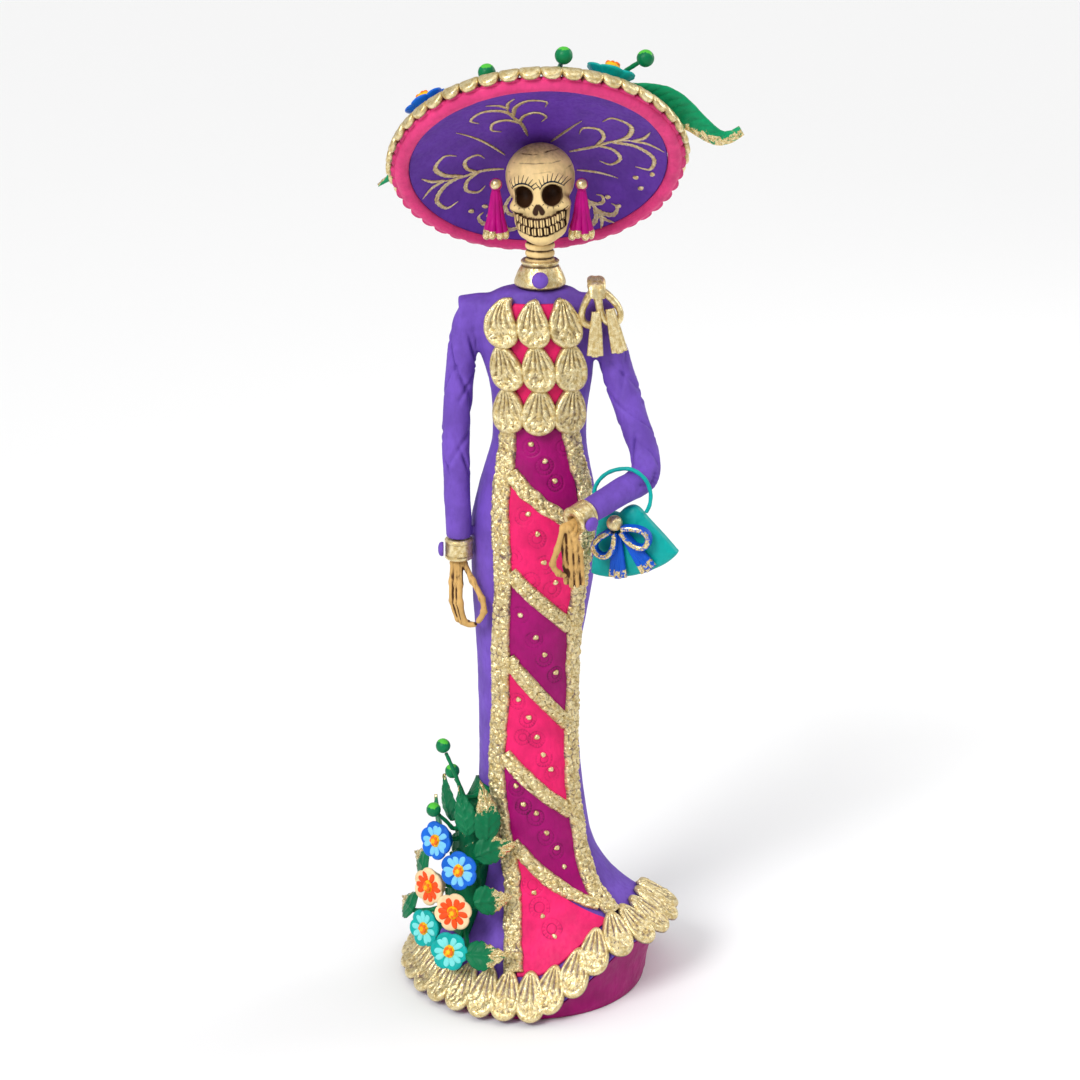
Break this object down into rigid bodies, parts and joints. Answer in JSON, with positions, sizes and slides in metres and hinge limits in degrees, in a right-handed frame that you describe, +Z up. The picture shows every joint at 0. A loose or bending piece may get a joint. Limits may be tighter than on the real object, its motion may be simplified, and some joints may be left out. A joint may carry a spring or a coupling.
{
  "type": "papier-mache skeleton lady figure",
  "caption": "Standing papier-mache skeleton lady in a long violet gown with gilded trims, a wide lift-off flowered hat, a hanging handbag and a bouquet at the hem.",
  "frame": {"origin": "centre of the underside of the round base board", "axes": "+Z up, -Y the way the face looks, +X towards the figure's left hand"},
  "size_m": [0.1449, 0.1097, 0.4025],
  "materials": {
    "board": "matt, bare fibreboard",
    "violet": "matt violet paint over papier-mache",
    "deep_violet": "matt deep violet paint with dull gold scrolls under the brim",
    "magenta": "matt magenta paint over papier-mache",
    "pink": "matt pink paint over papier-mache",
    "gold": "gold paint with coarse glitter over modelled paste",
    "bone": "matt bone paint with a brown wash",
    "green": "satin green paint, leaf tips touched with gold",
    "turquoise": "satin turquoise paint",
    "turquoise_wire": "turquoise paint over bent wire",
    "green_wire": "green paint over bent wire",
    "blue": "satin blue paint",
    "cream": "satin cream paint with orange centre",
    "yellow": "satin yellow paint",
    "steel": "bare wire",
    "newsprint": "rolled newsprint"
  },
  "bodies": {
    "figure": {"base_board": "board", "underskirt": "magenta", "skirt": "violet", "bodice": "violet", "paper_core": "newsprint", "spine_wire": "steel", "arm_wire": "steel", "right_sleeve": "violet", "left_sleeve": "violet", "right_cuff": "gold", "left_cuff": "gold", "right_cuff_button": "violet", "left_cuff_button": "violet", "right_hand": "bone", "left_hand": "bone", "neck": "bone", "collar": "gold", "collar_brooch": "violet", "chest_panel": "pink", "chest_petals_top": "gold", "chest_petals_middle": "gold", "chest_petals_bottom": "gold", "panels_magenta": "magenta", "panels_pink": "pink", "panel_dots": "gold", "trim_right": "gold", "trim_left": "gold", "trim_diagonals": "gold", "hem_petals": "gold", "shoulder_bow_knot": "gold", "shoulder_bow_loops": "gold", "shoulder_bow_tails": "gold", "bouquet_bed": "green", "bouquet_leaves_tall": "green", "bouquet_leaves_low": "green", "bouquet_stems": "green_wire", "bouquet_buds": "green", "bouquet_flowers_blue": "blue", "bouquet_flowers_cream": "cream", "bouquet_flowers_teal": "turquoise", "bouquet_flower_centres": "yellow", "skull": "bone", "earring_right": "magenta", "earring_left": "magenta", "hat_pin": "steel"},
    "hat": {"hat_bowl": "deep_violet", "hat_rim": "pink", "hat_scallops": "gold", "hat_flower_blue": "blue", "hat_flower_teal": "turquoise", "hat_flower_centres": "yellow", "hat_leaf_large": "green", "hat_leaf_small": "green", "hat_buds": "green"},
    "handbag": {"handbag_pouch": "turquoise", "handbag_handle": "turquoise_wire", "handbag_bow_loops": "blue", "handbag_bow_tails": "blue", "handbag_bead": "gold"}
  },
  "joints": [
    {"name": "hat_lift", "type": "slide", "parent": "figure", "child": "hat", "axis": [-0.0485, 0.7193, 0.693], "range_m": [0, 0.045]},
    {"name": "handbag_swing", "type": "hinge", "parent": "figure", "child": "handbag", "pos_m": [0.0379, -0.0262, 0.2325], "axis": [-0.7134, -0.6556, -0.2474], "range_deg": [-2, 20]}
  ]
}
